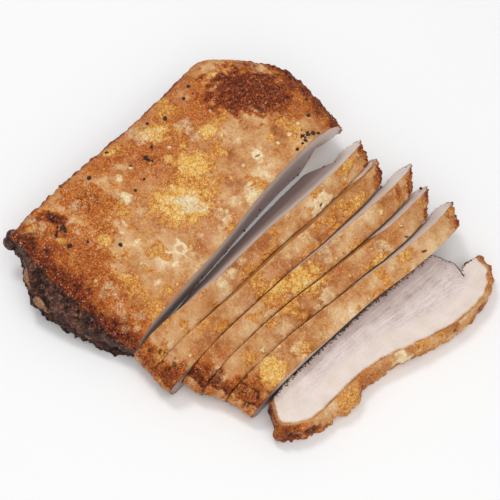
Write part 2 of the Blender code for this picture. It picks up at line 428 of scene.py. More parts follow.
def buildPiece(name, node, slot, place, length, strips, levels, sculpt, cutSides):
    piece = gridBox(name, strips, columnShares(), levels)
    mesh = piece.data
    isCut = np.isin(np.round(read(mesh.polygons, "center")[:, 0], 4), cutSides)
    across, share, level = np.clip(read(mesh.vertices, "co"), 0, 1).T
    up = unit(place(across, share, np.ones_like(level)) - place(across, share, np.zeros_like(level)))
    before, after = np.clip(share - 0.004, 0, 1), np.clip(share + 0.004, 0, 1)
    run = place(across, after, level) - place(across, before, level)
    run = unit(run - up * (run * up).sum(-1, keepdims=True))
    rindDepth, footDepth, nearDepth, out, along = sectionFields(share, level, length)
    at = SimpleNamespace(
        across=across, share=share, level=level, points=place(across, share, level),
        run=run, out=unit(run * out[:, :1] + up * out[:, 1:]),
        rindDepth=rindDepth, footDepth=footDepth, nearDepth=nearDepth,
        onCut=np.isin(np.round(across, 4), cutSides))
    moved, rise, field, char, rim = sculpt(at)
    moved[:, 2] = np.maximum(moved[:, 2], 0.0)
    writePoints(piece, moved)
    writeAttribute(piece, "looks", field["toast"], field["gold"], field["cream"], char)
    writeAttribute(piece, "form", np.clip(rise, -1.5, 1.0), field["pink"], field["pit"])
    writeAttribute(piece, "cut", rindDepth, footDepth, along)
    writeAttribute(piece, "layer", level, nearDepth, rim)
    for material in (cracklingMaterial, cutMaterial):
        mesh.materials.append(material)
    mesh.polygons.foreach_set("material_index", isCut.astype(np.int32))
    bpy.ops.object.shade_smooth_by_angle(angle=math.radians(48))
    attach(piece, "root")
    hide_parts(node)
    print("made", name, len(mesh.polygons), "faces")
    return piece


def nearness(distance, reach):
    return np.exp(-(distance / reach) ** 2)


def rimOf(usual, pale, at, own):
    # how deep the browned rim reaches on a cut face. usual holds it for both faces, and pale lists where it
    # is thinner, as side, from share, to share and depth
    rim = np.where(at.across < 0.5, *usual)
    for side, start, end, depth in pale:
        here = ease(start - 0.06, start + 0.01, at.share) * fade(end, end + 0.05, at.share)
        rim = mix(rim, depth, here * (np.abs(at.across - side) < 0.01))
    return rim + 0.5 * softNoise(own, 6.0, 7)


class Wire:
    # a shader socket that takes part in sums

    def __init__(self, finish, socket):
        self.finish, self.socket = finish, socket

    def math(self, operation, first, second):
        return self.finish.node("Math", {"operation": operation}, {0: first, 1: second})

    def __add__(self, other):
        return self.math("ADD", self, other)

    def __sub__(self, other):
        return self.math("SUBTRACT", self, other)

    def __rsub__(self, other):
        return self.math("SUBTRACT", other, self)

    def __mul__(self, other):
        return self.math("MULTIPLY", self, other)

    __radd__ = __add__
    __rmul__ = __mul__


def tint(red, green, blue):
    # a linear colour from everyday 0 to 255 values
    parts = [value / 255 for value in (red, green, blue)]
    return tuple(p / 12.92 if p <= 0.04045 else ((p + 0.055) / 1.055) ** 2.4 for p in parts) + (1.0,)


class Finish:
    def __init__(self, name):
        self.material = bpy.data.materials.new(name)
        self.material.use_nodes = True
        self.tree = self.material.node_tree
        self.shader = self.tree.nodes["Principled BSDF"]

    def node(self, kind, settings=None, inputs=None, output=0):
        made = self.tree.nodes.new("ShaderNode" + kind)
        for name, value in (settings or {}).items():
            if name == "stops":
                elements = made.color_ramp.elements
                while len(elements) < len(value):
                    elements.new(0.5)
                for element, (position, colour) in zip(elements, value):
                    element.position = position
                    element.color = colour
            else:
                setattr(made, name, value)
        for name, value in (inputs or {}).items():
            self.feed(made.inputs[name], value)
        return Wire(self, made.outputs[output])

    def feed(self, socket, value):
        if isinstance(value, Wire):
            self.tree.links.new(value.socket, socket)
        else:
            socket.default_value = value

    def places(self):
        # the piece's own coordinates in millimetres
        own = self.node("TexCoord", output="Object")
        return self.node("VectorMath", {"operation": "SCALE"}, {0: own, "Scale": 1 / mm})

    def noise(self, places, size, detail=3.0, roughness=0.55, distortion=0.0):
        return self.node("TexNoise", None, {
            "Vector": places, "Scale": 1 / size, "Detail": detail, "Roughness": roughness,
            "Distortion": distortion})

    def cells(self, places, size, feature="F1", output="Distance"):
        return self.node("TexVoronoi", {"feature": feature}, {"Vector": places, "Scale": 1 / size}, output)

    def ease(self, value, low, high, start=0.0, end=1.0):
        given = {"Value": value, "From Min": low, "From Max": high, "To Min": start, "To Max": end}
        return self.node("MapRange", {"interpolation_type": "SMOOTHSTEP"}, given)

    def ramp(self, value, stops):
        return self.node("ValToRGB", {"stops": [(at, tint(*colour)) for at, colour in stops]}, {"Fac": value})

    def blend(self, first, second, share):
        return self.node("Mix", {"data_type": "RGBA"}, {0: share, 6: first, 7: second}, 2)

    def cover(self, colour, looks, coats):
        # each coat: its colour or ramp in looks, the ramp's tone, the value that it follows, the two ends
        # between which it comes in, and how strong it gets
        for name, tone, value, low, high, most in coats:
            look = looks[name]
            over = self.ramp(tone, look) if isinstance(look[0], tuple) else tint(*look)
            colour = self.blend(colour, over, self.ease(value, low, high, 0.0, most))
        return colour

    def wear(self, colour, roughness, height, strength, distance, specular):
        # the finished surface, with its small relief
        bump = self.node("Bump", None, {"Strength": strength, "Distance": distance, "Height": height})
        for name, value in (("Base Color", colour), ("Roughness", roughness), ("Normal", bump)):
            self.feed(self.shader.inputs[name], value)
        self.shader.inputs["Specular IOR Level"].default_value = specular
        return self.material

    def attribute(self, name):
        # its three parts, and the fourth where it is a colour
        made = self.node("Attribute", {"attribute_name": name}, output="Vector")
        parts = self.node("SeparateXYZ", None, {0: made})
        outputs = [Wire(self, socket) for socket in parts.socket.node.outputs]
        return outputs + [Wire(self, made.socket.node.outputs["Alpha"])]


crackling = {
    # ramps over a tone, as places and colours, and plain colours
    "skin": (
        (0.08, (144, 74, 30)), (0.28, (182, 112, 56)), (0.47, (205, 146, 90)), (0.66, (222, 176, 124)),
        (0.9, (242, 216, 174))),
    "goldEdge": ((0.2, (178, 100, 34)), (0.5, (220, 146, 62)), (0.8, (244, 194, 112))),
    "gold": ((0.12, (206, 126, 36)), (0.36, (234, 166, 66)), (0.58, (244, 196, 108)), (0.9, (255, 238, 192))),
    "cream": (
        (0.15, (206, 158, 102)), (0.4, (238, 206, 154)), (0.65, (250, 232, 190)), (0.9, (255, 250, 230))),
    "rust": (
        (0.12, (112, 40, 6)), (0.34, (162, 74, 16)), (0.52, (194, 104, 34)), (0.7, (222, 146, 68)),
        (0.92, (248, 208, 146))),
    "toast": (
        (0.12, (28, 8, 3)), (0.32, (80, 26, 7)), (0.5, (126, 48, 12)), (0.68, (166, 80, 28)),
        (0.92, (220, 150, 86))),
    "char": (
        (0.12, (8, 3, 2)), (0.36, (34, 15, 10)), (0.54, (72, 38, 25)), (0.74, (114, 68, 48)),
        (0.95, (176, 126, 94))),
    "lens": ((0.2, (122, 76, 50)), (0.5, (160, 112, 78)), (0.8, (200, 158, 116))),
    "mauve": ((0.2, (50, 28, 22)), (0.5, (92, 58, 47)), (0.8, (140, 100, 84))),
    "pink": (206, 158, 126),
    # colour of the painted shade in the creases, cracks, sunken flakes, grooves and along the slices'
    # right-hand edges
    "pit": (70, 22, 8),
    "soot": (26, 8, 6),
    # colour of the painted glints, small white highlights laid into the skin's colour
    "glintColour": (255, 246, 230),
    "roughness": (0.3, 0.6),
    "bumpHeight": 0.0009,
    "shine": (0.18, 0.03, 0.14),       # specular, coat and the coat's roughness
}


def cracklingFinish():
    finish = Finish("crackling")
    places = finish.places()
    toast, gold, cream, char = finish.attribute("looks")
    rise, pink, pit = finish.attribute("form")[:3]
    broad = finish.noise(places, 22.0, 3.0, 0.5)
    medium = finish.noise(places, 3.6, 4.0, 0.6, 0.6)
    fine = finish.noise(places, 0.9, 3.0, 0.68, 0.3)
    shove = finish.node("TexNoise", None, {"Vector": places, "Scale": 0.9, "Detail": 2.0}, "Color")
    bent = finish.node("VectorMath", {"operation": "ADD"}, {0: places, 1: shove})
    bubble = finish.cells(bent, 1.5)
    glint = finish.cells(bent, 1.9)
    wrinkle = finish.cells(bent, 3.4, "DISTANCE_TO_EDGE")
    crisp = finish.ease(toast * 1.2 + gold, 0.1, 0.7)      # grainy where it puffed, smooth elsewhere
    # the bubble term paints each bubble's top lighter and the gaps between bubbles darker, as light and
    # shade; the fine noise is the skin's own grain
    grain = (0.42 - bubble) * (crisp * 0.26 + 0.1) + (fine - 0.5) * (crisp * 0.75 + 0.5)
    # raised parts painted lighter in proportion to their rise, as light on the high points
    tone = 0.5 + (medium - 0.5) * 0.6 + grain + rise * 0.1
    skinTone = tone + (broad - 0.5) * 1.5
    wobble = (medium - 0.5) * 0.7 + (fine - 0.5) * 0.35
    # painted shade: the tone darkens along the creases between the skin's cells
    creaseShadedTone = tone - finish.ease(wrinkle, 0.14, 0.0, 0.0, 0.2)
    soot = finish.noise(places, 2.2, 4.0, 0.7)
    colour = finish.cover(finish.ramp(skinTone, crackling["skin"]), crackling, (
        ("pink", tone, pink + wobble, 0.3, 0.9, 0.6),
        ("rust", tone, toast + wobble * 0.8, 0.05, 0.55, 1.0),
        ("goldEdge", creaseShadedTone, gold + wobble, 0.12, 0.45, 0.9),
        ("gold", creaseShadedTone, gold + wobble, 0.4, 0.95, 1.0),
        ("cream", creaseShadedTone, cream + wobble, 0.2, 0.9, 1.0),
        ("toast", tone, toast + wobble * 0.9, 0.4, 1.05, 1.0),
        # painted shade: the skin darkened in creases, cracks, hollows and along edges where shade falls
        ("pit", tone, pit + wobble * 0.3, 0.15, 0.9, 0.9),
        ("soot", tone, soot + toast * 0.22, 0.76, 0.86, 0.9)))
    # painted highlights: tiny white glints scattered over the skin's colour
    paintedGlints = finish.ease(glint, 0.22, 0.1) * finish.ease(medium, 0.42, 0.56) * 0.6
    colour = finish.blend(colour, tint(*crackling["glintColour"]), paintedGlints)
    # the bubble term again paints bubble tops lighter and the gaps between them darker
    burntTone = 0.5 + (medium - 0.5) * 1.6 + (fine - 0.5) * 0.9 + (0.42 - bubble) * 0.4
    burnt = finish.cover(finish.ramp(burntTone, crackling["char"]), crackling, (
        ("mauve", burntTone, pink + wobble, 0.3, 0.8, 0.85),
        ("lens", tone, gold + wobble * 0.4, 0.35, 0.6, 1.0)))
    colour = finish.blend(colour, burnt, finish.ease(char + wobble * 0.5, 0.25, 0.65))
    height = (1 - bubble) * (crisp * 0.5 + 0.2) + fine * 0.5 + medium * 0.8
    height = height + finish.ease(wrinkle, 0.0, 0.2) * gold * 0.35
    specular, coat, coatRoughness = crackling["shine"]
    finish.shader.inputs["Coat Weight"].default_value = coat
    finish.shader.inputs["Coat Roughness"].default_value = coatRoughness
    roughness = finish.ease(medium, 0.3, 0.7, *crackling["roughness"])
    return finish.wear(colour, roughness, height, 1.0, crackling["bumpHeight"], specular)


cutMeat = {
    "fat": ((0.3, (222, 202, 190)), (0.5, (230, 213, 202)), (0.7, (238, 224, 215))),
    "lean": ((0.25, (188, 168, 164)), (0.5, (219, 202, 196)), (0.75, (234, 220, 214))),
    "deepLean": (188, 166, 163),
    # colour of the painted shade on cut faces that lie in the gaps
    "gapShade": (124, 88, 82),
    "rim": ((0.25, (128, 72, 34)), (0.5, (176, 114, 60)), (0.75, (214, 164, 108))),
    "amber": (204, 164, 118),
    "crumb": ((0.3, (38, 23, 17)), (0.5, (100, 67, 46)), (0.72, (166, 126, 94))),
    "fatDepth": 14.0,          # the white fat reaches this deep
    "roughness": (0.3, 0.45),
    "bumpHeight": 0.0004,
}


def cutFinish():
    finish = Finish("cut meat")
    places = finish.places()
    rindDepth, footDepth, along = finish.attribute("cut")[:3]
    level, nearDepth, rim = finish.attribute("layer")[:3]
    # streaks follow the layers, so they fan out where the meat thickens
    layers = finish.node("CombineXYZ", None, {0: along * 0.07, 1: level * 26.0, 2: 0.0})
    streak = finish.noise(layers, 1.0, 5.0, 0.62, 0.5)
    fibres = finish.node("CombineXYZ", None, {0: along * 0.25, 1: level * 75.0, 2: 3.0})
    fibre = finish.noise(fibres, 1.0, 3.0, 0.6)
    grain = finish.noise(places, 1.3, 4.0, 0.65)
    blotch = finish.noise(places, 9.0, 3.0, 0.55)
    tone = 0.5 + (streak - 0.5) * 0.9 + (fibre - 0.5) * 0.45 + (grain - 0.5) * 0.5 + (blotch - 0.5) * 0.5
    softTone = 0.5 + (blotch - 0.5) * 0.7 + (grain - 0.5) * 0.4 + (streak - 0.5) * 0.3
    lean = finish.cover(finish.ramp(tone, cutMeat["lean"]), cutMeat, (
        ("deepLean", tone, footDepth + blotch * 6, 10.0, 2.0, 0.6),))
    limit = rindDepth + (streak - 0.5) * 9.0 + (blotch - 0.5) * 10.0
    isLean = finish.ease(limit, cutMeat["fatDepth"] - 3.5, cutMeat["fatDepth"] + 4.0)
    isLean = isLean * finish.ease(along, 12.0, 45.0)
    colour = finish.blend(finish.ramp(softTone, cutMeat["fat"]), lean, isLean)
    wobble = (grain - 0.5) * 1.8 + (blotch - 0.5) * 1.6
    inside = rindDepth - rim + wobble
    # the painted gap shade set on the cut faces
    gapShading = finish.attribute("form")[2]
    colour = finish.cover(colour, cutMeat, (
        ("amber", tone, inside, 1.6, -0.2, 0.8),
        ("rim", tone, inside, 0.4, -0.5, 1.0),
        ("rim", tone, nearDepth + wobble, 2.6, 1.2, 1.0),
        # painted shade on the faces that lie in the gaps
        ("gapShade", tone, gapShading + wobble * 0.15, 0.0, 1.0, 0.95),
        ("crumb", tone, footDepth + (grain - 0.5) * 4.5, 0.9, 0.3, 1.0)))
    height = streak * 0.6 + fibre * 0.4 + grain * 0.5
    roughness = finish.ease(grain, 0.35, 0.65, *cutMeat["roughness"])
    return finish.wear(colour, roughness, height, 0.5, cutMeat["bumpHeight"], 0.4)


cracklingMaterial = cracklingFinish()
cutMaterial = cutFinish()
print("materials made")


block = {
    "leftX": -113.0, "widen": (4.5, 6.0),
    "near": (-108.0, -101.5),      # Y of the near edge, left and at the cut
    "far": (109.0, 107.5), "farBow": 7.5,
    "cutShift": 21.0, "cutPower": 1.6, "cutLean": 9.0,
    "snub": (136.0, 0.75),         # the far left corner is blunt past this distance, by this share
    "sideRound": (8.0, 4.0), "sideUnder": (36.0, 12.0), "sideShare": 0.16,
    "toe": 24.0,                   # the charred end stands out this far under the rind's edge
    "toeFoot": 0.5,                # share of it that is left at the foot
    "toeStarts": ((-0.2, 0.2), (0.1, 0.5)),    # shares across where it begins and is full, foot and rind
    "strips": 14, "levels": 4, "length": 211.0,
    # marks on the charred end: kind, X, depth under the rind's edge, half length, half width
    "charMarks": (
        ("gold", -86, 8.0, 14, 2.4), ("gold", -66, 8.0, 7, 4.2), ("gold", -60, 14.0, 4, 4.0),
        ("pink", -40, 5.0, 22, 4.0), ("pink", -92, 7.0, 14, 5.0), ("pink", -20, 5.0, 12, 3.0),
        ("gold", -30, 12.0, 4, 2.5),
    ),
}


def placeInBlock(across, share, level):
    near, middle, bulge = (mix(low, high, across) for low, high in zip(section["left"], section["cut"]))
    full = rindHeight(share, near, middle, bulge)
    side = np.clip(1 - across / block["sideShare"], 0, 1)
    rounded = 1 - np.sqrt(1 - side * side)
    top = full - block["sideRound"][0] * rounded
    bottom = np.maximum(footHeight(share), block["sideRound"][1] * rounded * ease(0, 0.06, share))
    z = mix(bottom, top, level)
    cutX = -block["cutShift"] * (1 - (1 - share) ** block["cutPower"])
    cutX = cutX - (full - z) * math.tan(math.radians(block["cutLean"]))
    widenNear, widenFar = block["widen"]
    leftX = block["leftX"] - widenNear * ease(0, 0.5, share) - widenFar * ease(0.5, 0.85, share)
    leftX = leftX + mix(*block["sideUnder"], share) * (1 - level) ** 1.5
    x = mix(leftX, cutX, across)
    farY = mix(*block["far"], across) + block["farBow"] * np.sin(math.pi * across)
    y = mix(mix(*block["near"], across), farY, share)
    y = y + undercut(z, share, near) * fade(0, 0.2, 1 - across)
    below = np.clip(1 - z / near, 0, 1)
    toeFrom, toeTo = (mix(foot, rind, level) for foot, rind in zip(*block["toeStarts"]))
    toe = block["toe"] * ease(toeFrom, toeTo, across) * (1 - across ** 2.2)
    toe = toe * np.clip(1 - share / 0.15, 0, 1) ** 2
    y = y - toe * (1 - np.exp(-below * near / 3.0)) * mix(1.0, block["toeFoot"], below ** 1.3)
    reach, taken = block["snub"]
    diagonal = math.sqrt(0.5)
    over = taken * np.maximum((y - x) * diagonal - reach, 0) * diagonal
    x, y = x + over, y - over
    return swelled(x, y, z, share, level)


def sculptBlock(at):
    points, share, across = at.points, at.share, at.across
    under = (1 - at.level) * mix(section["left"][0], section["cut"][0], across)
    wave = softNoise(points, 7.0, 3)
    inward = share / mix(0.15, 0.11, across) + 0.16 * wave
    nearToast = 0.6 * fade(0.0, 0.5, inward) + 0.55 * fade(0.4, 1.3, inward)
    nearToast += 0.25 * roughNoise(points, 3.0, 2, 33) * fade(0.5, 1.0, inward)
    leftToast = 0.85 * fade(0.004, 0.035, across + 0.012 * wave)
    leftToast += 0.45 * fade(0.02, 0.15, across + 0.03 * wave)
    farToast = 1.05 * ease(0.91, 0.985, share + 0.025 * wave)
    edgeToast = np.clip(np.maximum(np.maximum(nearToast, leftToast), farToast), 0, 1.2)
    rise, field = rindField(points * np.array((1, 1, 0.6)), edgeToast)
    rindWeight = nearness(at.rindDepth, 2.4)
    lumps = dome(cellBumps(points, 6.0, 101)[0], 0.75)
    crust = roughNoise(points, 5.0, 3, 103)
    endWeight = fade(0.0, 0.012, share) * ease(0.2, 1.2, under + 0.8 * wave)
    leftEdge = fade(0.0, 0.02, across)
    sideWeight = leftEdge * (1 - rindWeight)
    endCrust = lumps * 3.0 + crust * 3.2 + 0.9 * softNoise(points, 1.6, 105) - 1.0
    tatters = roughNoise(points, 4.0, 3, 95) * 1.8 + 0.9 * softNoise(points, 1.4, 98) + 0.6
    amount = (rise + 2.0 * leftEdge * roughNoise(points, 5.0, 3, 107)) * rindWeight
    amount += endWeight * endCrust * ease(3.0, 14.0, under) + ease(0.9, 0.985, share) * tatters
    moved = points + at.out * amount[:, None]
    moved[:, 0] -= sideWeight * (crust * 1.6 + lumps * 0.8)
    char = np.clip(endWeight * 1.1 + sideWeight * 0.5 * ease(-0.1, 0.5, crust), 0, 1)
    deepen(field, "toast", 0.8 * np.maximum(endWeight, sideWeight))
    for kind in ("gold", "pink"):
        field[kind] *= 1 - endWeight
    flat = np.stack([points[:, 0], under], -1)
    for kind, x, depth, halfLength, halfWidth in block["charMarks"]:
        deepen(field, kind, markShare(flat, x, depth, halfLength, halfWidth, 0, 0.2 * wave) * endWeight)
    mauve = 0.8 * ease(0.1, -0.25, crust) * ease(20.0, 8.0, under)
    deepen(field, "pink", mauve * endWeight)
    # painted shade on the cut face, darker deeper down in the gap beside the first slice
    field["pit"] = np.where(at.onCut, 0.4 * ease(4.0, 15.0, at.rindDepth + wave), field["pit"])
    return moved, rise, field, char, rimOf((1.6, 0.5), (), at, points)


blockPiece = buildPiece(
    "uncut_block", "block", "crackling", placeInBlock, block["length"],
    evenShares(block["strips"]), evenShares(block["levels"]), sculptBlock, (1.0,))


standing = {
    # surfaces between the slices, from the block outwards: X of the foot, then the lean, at three places
    "places": (-100.0, -32.0, 108.0),
    "between": (
        ((-1.2, -14.0, -25.0), (6.0, 31.0, 37.0)),
        ((15.5, 3.0, -7.0), (7.0, 29.0, 36.0)),
        ((32.5, 20.5, 13.5), (7.0, 24.5, 34.0)),
        ((47.0, 37.0, 33.0), (5.0, 20.0, 33.0)),
        ((61.5, 55.0, 52.0), (5.0, 17.0, 33.0)),
        ((80.2, 77.5, 71.5), (6.0, 8.0, 29.0)),
    ),
    # near Y, far Y, opening to the next at the far end, slant of the near end and of the far end
    "slices": (
        (-101.5, 106.0, 0.0, 0.0, 5.0),
        (-102.5, 102.0, 2.0, 0.0, 9.0),
        (-88.0, 112.0, 2.0, -2.0, 12.0),
        (-82.0, 106.0, 2.0, -6.0, 12.0),
        (-76.0, 111.0, 0.0, -4.0, 4.0),
    ),
    "gap": 0.5,
    "tiltFrom": 12.0,          # the foot lies flat, and the tilt comes in up to this height
    "thick": 16.0, "length": 207.0,
    # share that toasted at the near end and how much, how far its crust stands out, how deep the rim browned
    # on each face, and where the rim is thin: side, from share, to share, depth
    "finish": (
        (0.075, 0.75, 1.5, (0.8, 2.0), ()),
        (0.08, 0.85, 2.0, (12.0, 2.0), ((0.0, 0.9, 1.0, 4.0),)),
        (0.05, 1.1, 5.0, (12.0, 2.0), ((0.0, 0.45, 1.0, 0.8),)),
        (0.06, 0.9, 5.0, (12.0, 2.0), ((0.0, 0.75, 1.0, 0.8),)),
        (0.08, 0.8, 5.5, (12.0, 0.7), ((0.0, 0.55, 1.0, 0.6),)),
    ),
}


def alongThree(values, y):
    near, third, far = values
    nearY, thirdY, farY = standing["places"]
    rest = np.sin(math.pi / 2 * np.clip((y - thirdY) / (farY - thirdY), 0, 1))
    return near + (third - near) * ease(nearY, thirdY, y) + (far - third) * rest


def between(index, y):
    foot, lean = standing["between"][index]
    return alongThree(foot, y), np.tan(np.radians(alongThree(lean, y)))


def placeInSlice(index, across, share, level):
    nearY, farY, opening, nearSlant, farSlant = standing["slices"][index]
    height, shift = cutPoint(share, level)
    y = mix(nearY, farY, share) - mix(nearSlant, farSlant, share) * (across - 0.5) + shift
    leftFoot, leftSlope = between(index, y)
    rightFoot, rightSlope = between(index + 1, y)
    rightFoot = rightFoot - opening * ease(0.45, 1.0, share)
    lean = np.arctan(mix(leftSlope, rightSlope, across))
    thick = (rightFoot - leftFoot) * np.cos(lean)
    tilt = thick * np.sin(lean) * ease(0, standing["tiltFrom"], height)
    z = height * np.cos(lean) - (across - 0.5) * tilt
    leftX = leftFoot + standing["gap"] / 2 + z * leftSlope
    rightX = rightFoot - standing["gap"] / 2 + z * rightSlope
    x = mix(leftX, rightX, across)
    return swelled(x, y, z, share, level)


def sculptSlice(index, at):
    # a standing slice's own relief
    near, burn, nearPuff, usualRim, paleRim = standing["finish"][index]
    points, share, level, across = at.points, at.share, at.level, at.across
    own = points + np.array((0, 0, index * 40.0))
    wave = softNoise(own, 5.0, 3)
    nearToast = burn - 0.7 * burn * ease(near * 0.1, near * 1.2, share + 0.04 * wave)
    nearToast = nearToast * fade(near, near * 2.6, share)
    farToast = 0.95 * ease(0.925, 0.995, share + 0.025 * softNoise(own, 4.0, 4))
    endToast = np.maximum(nearToast, farToast)
    rise, field = rindField(points * np.array((1, 1, 0.6)), endToast)
    field["toast"] *= mix(0.75, 1.0, ease(0.3, 0.7, endToast))
    rindWeight = nearness(at.rindDepth, 2.4)
    chipped = fade(0.0, 1.3, np.minimum(across, 1 - across) * standing["thick"])
    chipped = chipped * (0.5 + 0.5 * softNoise(own, 2.6, 5))
    crust = roughNoise(own, 5.0, 3, 81) + 0.6 * dome(cellBumps(own, 3.4, 83)[0], 0.6)
    nearWeight = nearness(at.nearDepth, 2.2)
    nearBulge = nearness(at.nearDepth, 5.0) * np.sin(math.pi * level) ** 0.7
    footWeight = nearness(at.footDepth, 1.3) * (1 - nearWeight)
    flakes = fade(near * 0.5, near * 1.6, share) * rindWeight
    flakeNoise = roughNoise(own, 3.2, 3, 87)
    tatters = roughNoise(own, 4.0, 3, 95) * 3.0 + 1.2 * softNoise(own, 1.3, 98) + 1.8
    amount = (rise - chipped * 0.8) * rindWeight + nearWeight * crust * 1.5 + nearBulge * nearPuff
    amount += footWeight * roughNoise(own, 2.6, 2, 91) * 0.6 + flakes * flakeNoise * 1.6
    amount += ease(0.9, 0.985, share) * tatters
    moved = points + at.out * amount[:, None]
    isFace = (nearWeight > 0.3) & (level < 0.985)
    field["toast"] = np.where(isFace, 0.25 + 0.4 * np.clip(crust, -0.4, 0.8), field["toast"])
    char = nearWeight * ease(9.0, 2.0, points[:, 2] + 3 * wave) + 0.6 * footWeight
    # painted shade in the sunken parts of the flakes
    deepen(field, "pit", 0.8 * flakes * ease(0.1, 0.5, -flakeNoise))
    # painted shade along the slice's right-hand edge, where the rind turns away and meets the next slice
    deepen(field, "pit", 0.3 * fade(0.0, 2.0, (1 - across) * standing["thick"]))
    if index == 0:      # painted shade on its open face, down in the gap
        gapShade = 0.5 * ease(3.0, 15.0, at.rindDepth + wave)
    else:
        # painted shade on the cut faces towards the near end, where the slices stand close together
        gapShade = 0.7 * fade(near * 0.6, near * 2.0, share)
    field["pit"] = np.where(at.onCut, gapShade, field["pit"])
    return moved, rise, field, np.clip(char, 0, 1) * (1 - rindWeight), rimOf(usualRim, paleRim, at, own)


# strips and levels of every slice
sliceGrid = (evenShares(3), (0.12, 0.3, 0.5, 0.7, 0.87))


standingPieces = [
    buildPiece(
        f"standing_slice_{index + 1}", f"slice_{index + 1}", "crackling", partial(placeInSlice, index),
        standing["length"], *sliceGrid, partial(sculptSlice, index), (0.0, 1.0))
    for index in range(len(standing["slices"]))]


lying = {
    "foot": (82.3, -71.0), "length": 175.0, "turn": -1.6, "thick": 15.5, "bow": -2.5,
    "puff": (3.4, 1.6),    # the crackling stands out this far between the faces, near and far
    "nearPuff": 1.0,
    "bulge": 5.0,          # roundness of the meat's far end
    # kind, Y, Z, half length, half width, strength, lift
    "marks": (
        ("gold", -29, 8, 11, 13, 0.5, 5.4), ("toast", -29, 9, 11, 12, 0.34, 0.0),
        ("gold", -42, 7, 8, 7, 0.5, 1.5), ("cream", 17, 11, 9, 7, 0.9, 1.8),
        ("toast", -5, 8, 14, 9, 0.4, 0.0), ("gold", 30, 10, 9, 8, 0.5, 1.4), ("pink", 1, 9, 11, 5, 0.6, 0.4),
        ("gold", 46, 7, 14, 6, 0.6, 0.8), ("toast", -57, 8, 6, 9, 0.9, -1.0),
        ("toast", 27, 6, 6, 7, 0.6, -0.5), ("gold", 66, 8, 9, 6, 0.8, 0.6),
        ("toast", 54, 10, 3, 4, 0.9, -0.8), ("toast", -66, 6, 5, 8, 1.0, -0.8),
        ("toast", 80, 6, 7, 9, 0.7, 0.0), ("toast", -48, 3, 4, 3, 0.8, -1.0),
    ),
}


def placeLying(across, share, level):
    height, shift = cutPoint(share, level)
    along = share * lying["length"] + shift
    height = height + lying["bow"] * np.sin(math.pi * share)
    turn = math.radians(lying["turn"])
    x = lying["foot"][0] + height * math.cos(turn) - along * math.sin(turn)
    y = lying["foot"][1] + height * math.sin(turn) + along * math.cos(turn)
    return np.stack([x, y, (1 - across) * lying["thick"]], -1)


def sculptLying(at):
    points, share, level, across = at.points, at.share, at.level, at.across
    own = points + np.array((0, 0, 280.0))
    wave = softNoise(own, 5.0, 3)
    edgeToast = 0.8 * fade(0.02, 0.11, share + 0.03 * wave) + 0.7 * ease(0.9, 0.99, share + 0.03 * wave)
    edgeToast = np.maximum(edgeToast, 0.34 * fade(3.0, 8.0, points[:, 2] + 2 * wave))
    rise, field = rindField(own, np.clip(edgeToast, 0, 1), placed=False)
    warp = 0.3 * softNoise(own, 3.0, 8)
    for kind, y, z, halfLength, halfWidth, strength, lift in lying["marks"]:
        mark = markShare(points[:, 1:], y, z, halfLength, halfWidth, 0, warp)
        deepen(field, kind, mark * strength)
        rise += mark * lift
    rindWeight = nearness(at.rindDepth, 2.8)
    nearWeight = nearness(at.nearDepth, 3.0)
    footWeight = nearness(at.footDepth, 1.3) * (1 - nearWeight)
    rounded = np.sqrt(np.clip(1 - (1 - np.clip(across * 5.0, 0, 1)) ** 2, 0, 1))
    bulge = ease(0.78, 0.845, share) * fade(0.875, 0.897, share) * ease(0.75, 0.0, level)
    grooves = nearness(share, 0.16) * np.sin(points[:, 1] * 1.3 + 3 * wave) * 0.9
    puff = mix(*lying["puff"], ease(0.3, 0.8, share)) * (1 + 0.35 * softNoise(own, 12.0, 9)) + grooves
    knobbly = 1.5 * roughNoise(own, 4.5, 3, 121) + 0.9 * dome(cellBumps(own, 4.0, 123)[0], 0.65)
    nearCrust = lying["nearPuff"] + 1.5 * roughNoise(own, 4.0, 3, 81)
    amount = ((rise + puff + knobbly) * rindWeight + nearWeight * nearCrust) * rounded
    amount += footWeight * (roughNoise(own, 2.4, 2, 91) * 1.1 + 1.3 * ease(0.02, 0.15, share))
    amount += ease(0.93, 0.99, share) * roughNoise(own, 3.0, 3, 95) * 0.9
    moved = points + at.out * amount[:, None] + at.run * (bulge * lying["bulge"])[:, None]
    deepen(field, "toast", 0.7 * nearWeight)
    rim = 0.9 + fade(0.0, 0.16, share) + 1.6 * ease(0.93, 0.99, share) + 0.7 * wave
    # painted shade in the grooves near the near end
    pit = field["pit"] + 0.6 * nearness(share, 0.1) * ease(0.2, 0.9, -grooves)
    field["pit"] = np.where(at.onCut, 0.0, pit)
    return moved, rise, field, 0.6 * footWeight * (1 - rindWeight), rim


buildPiece(
    "lying_slice", "slice_6", "cut_meat", placeLying, lying["length"], *sliceGrid, sculptLying, (0.0, 1.0))


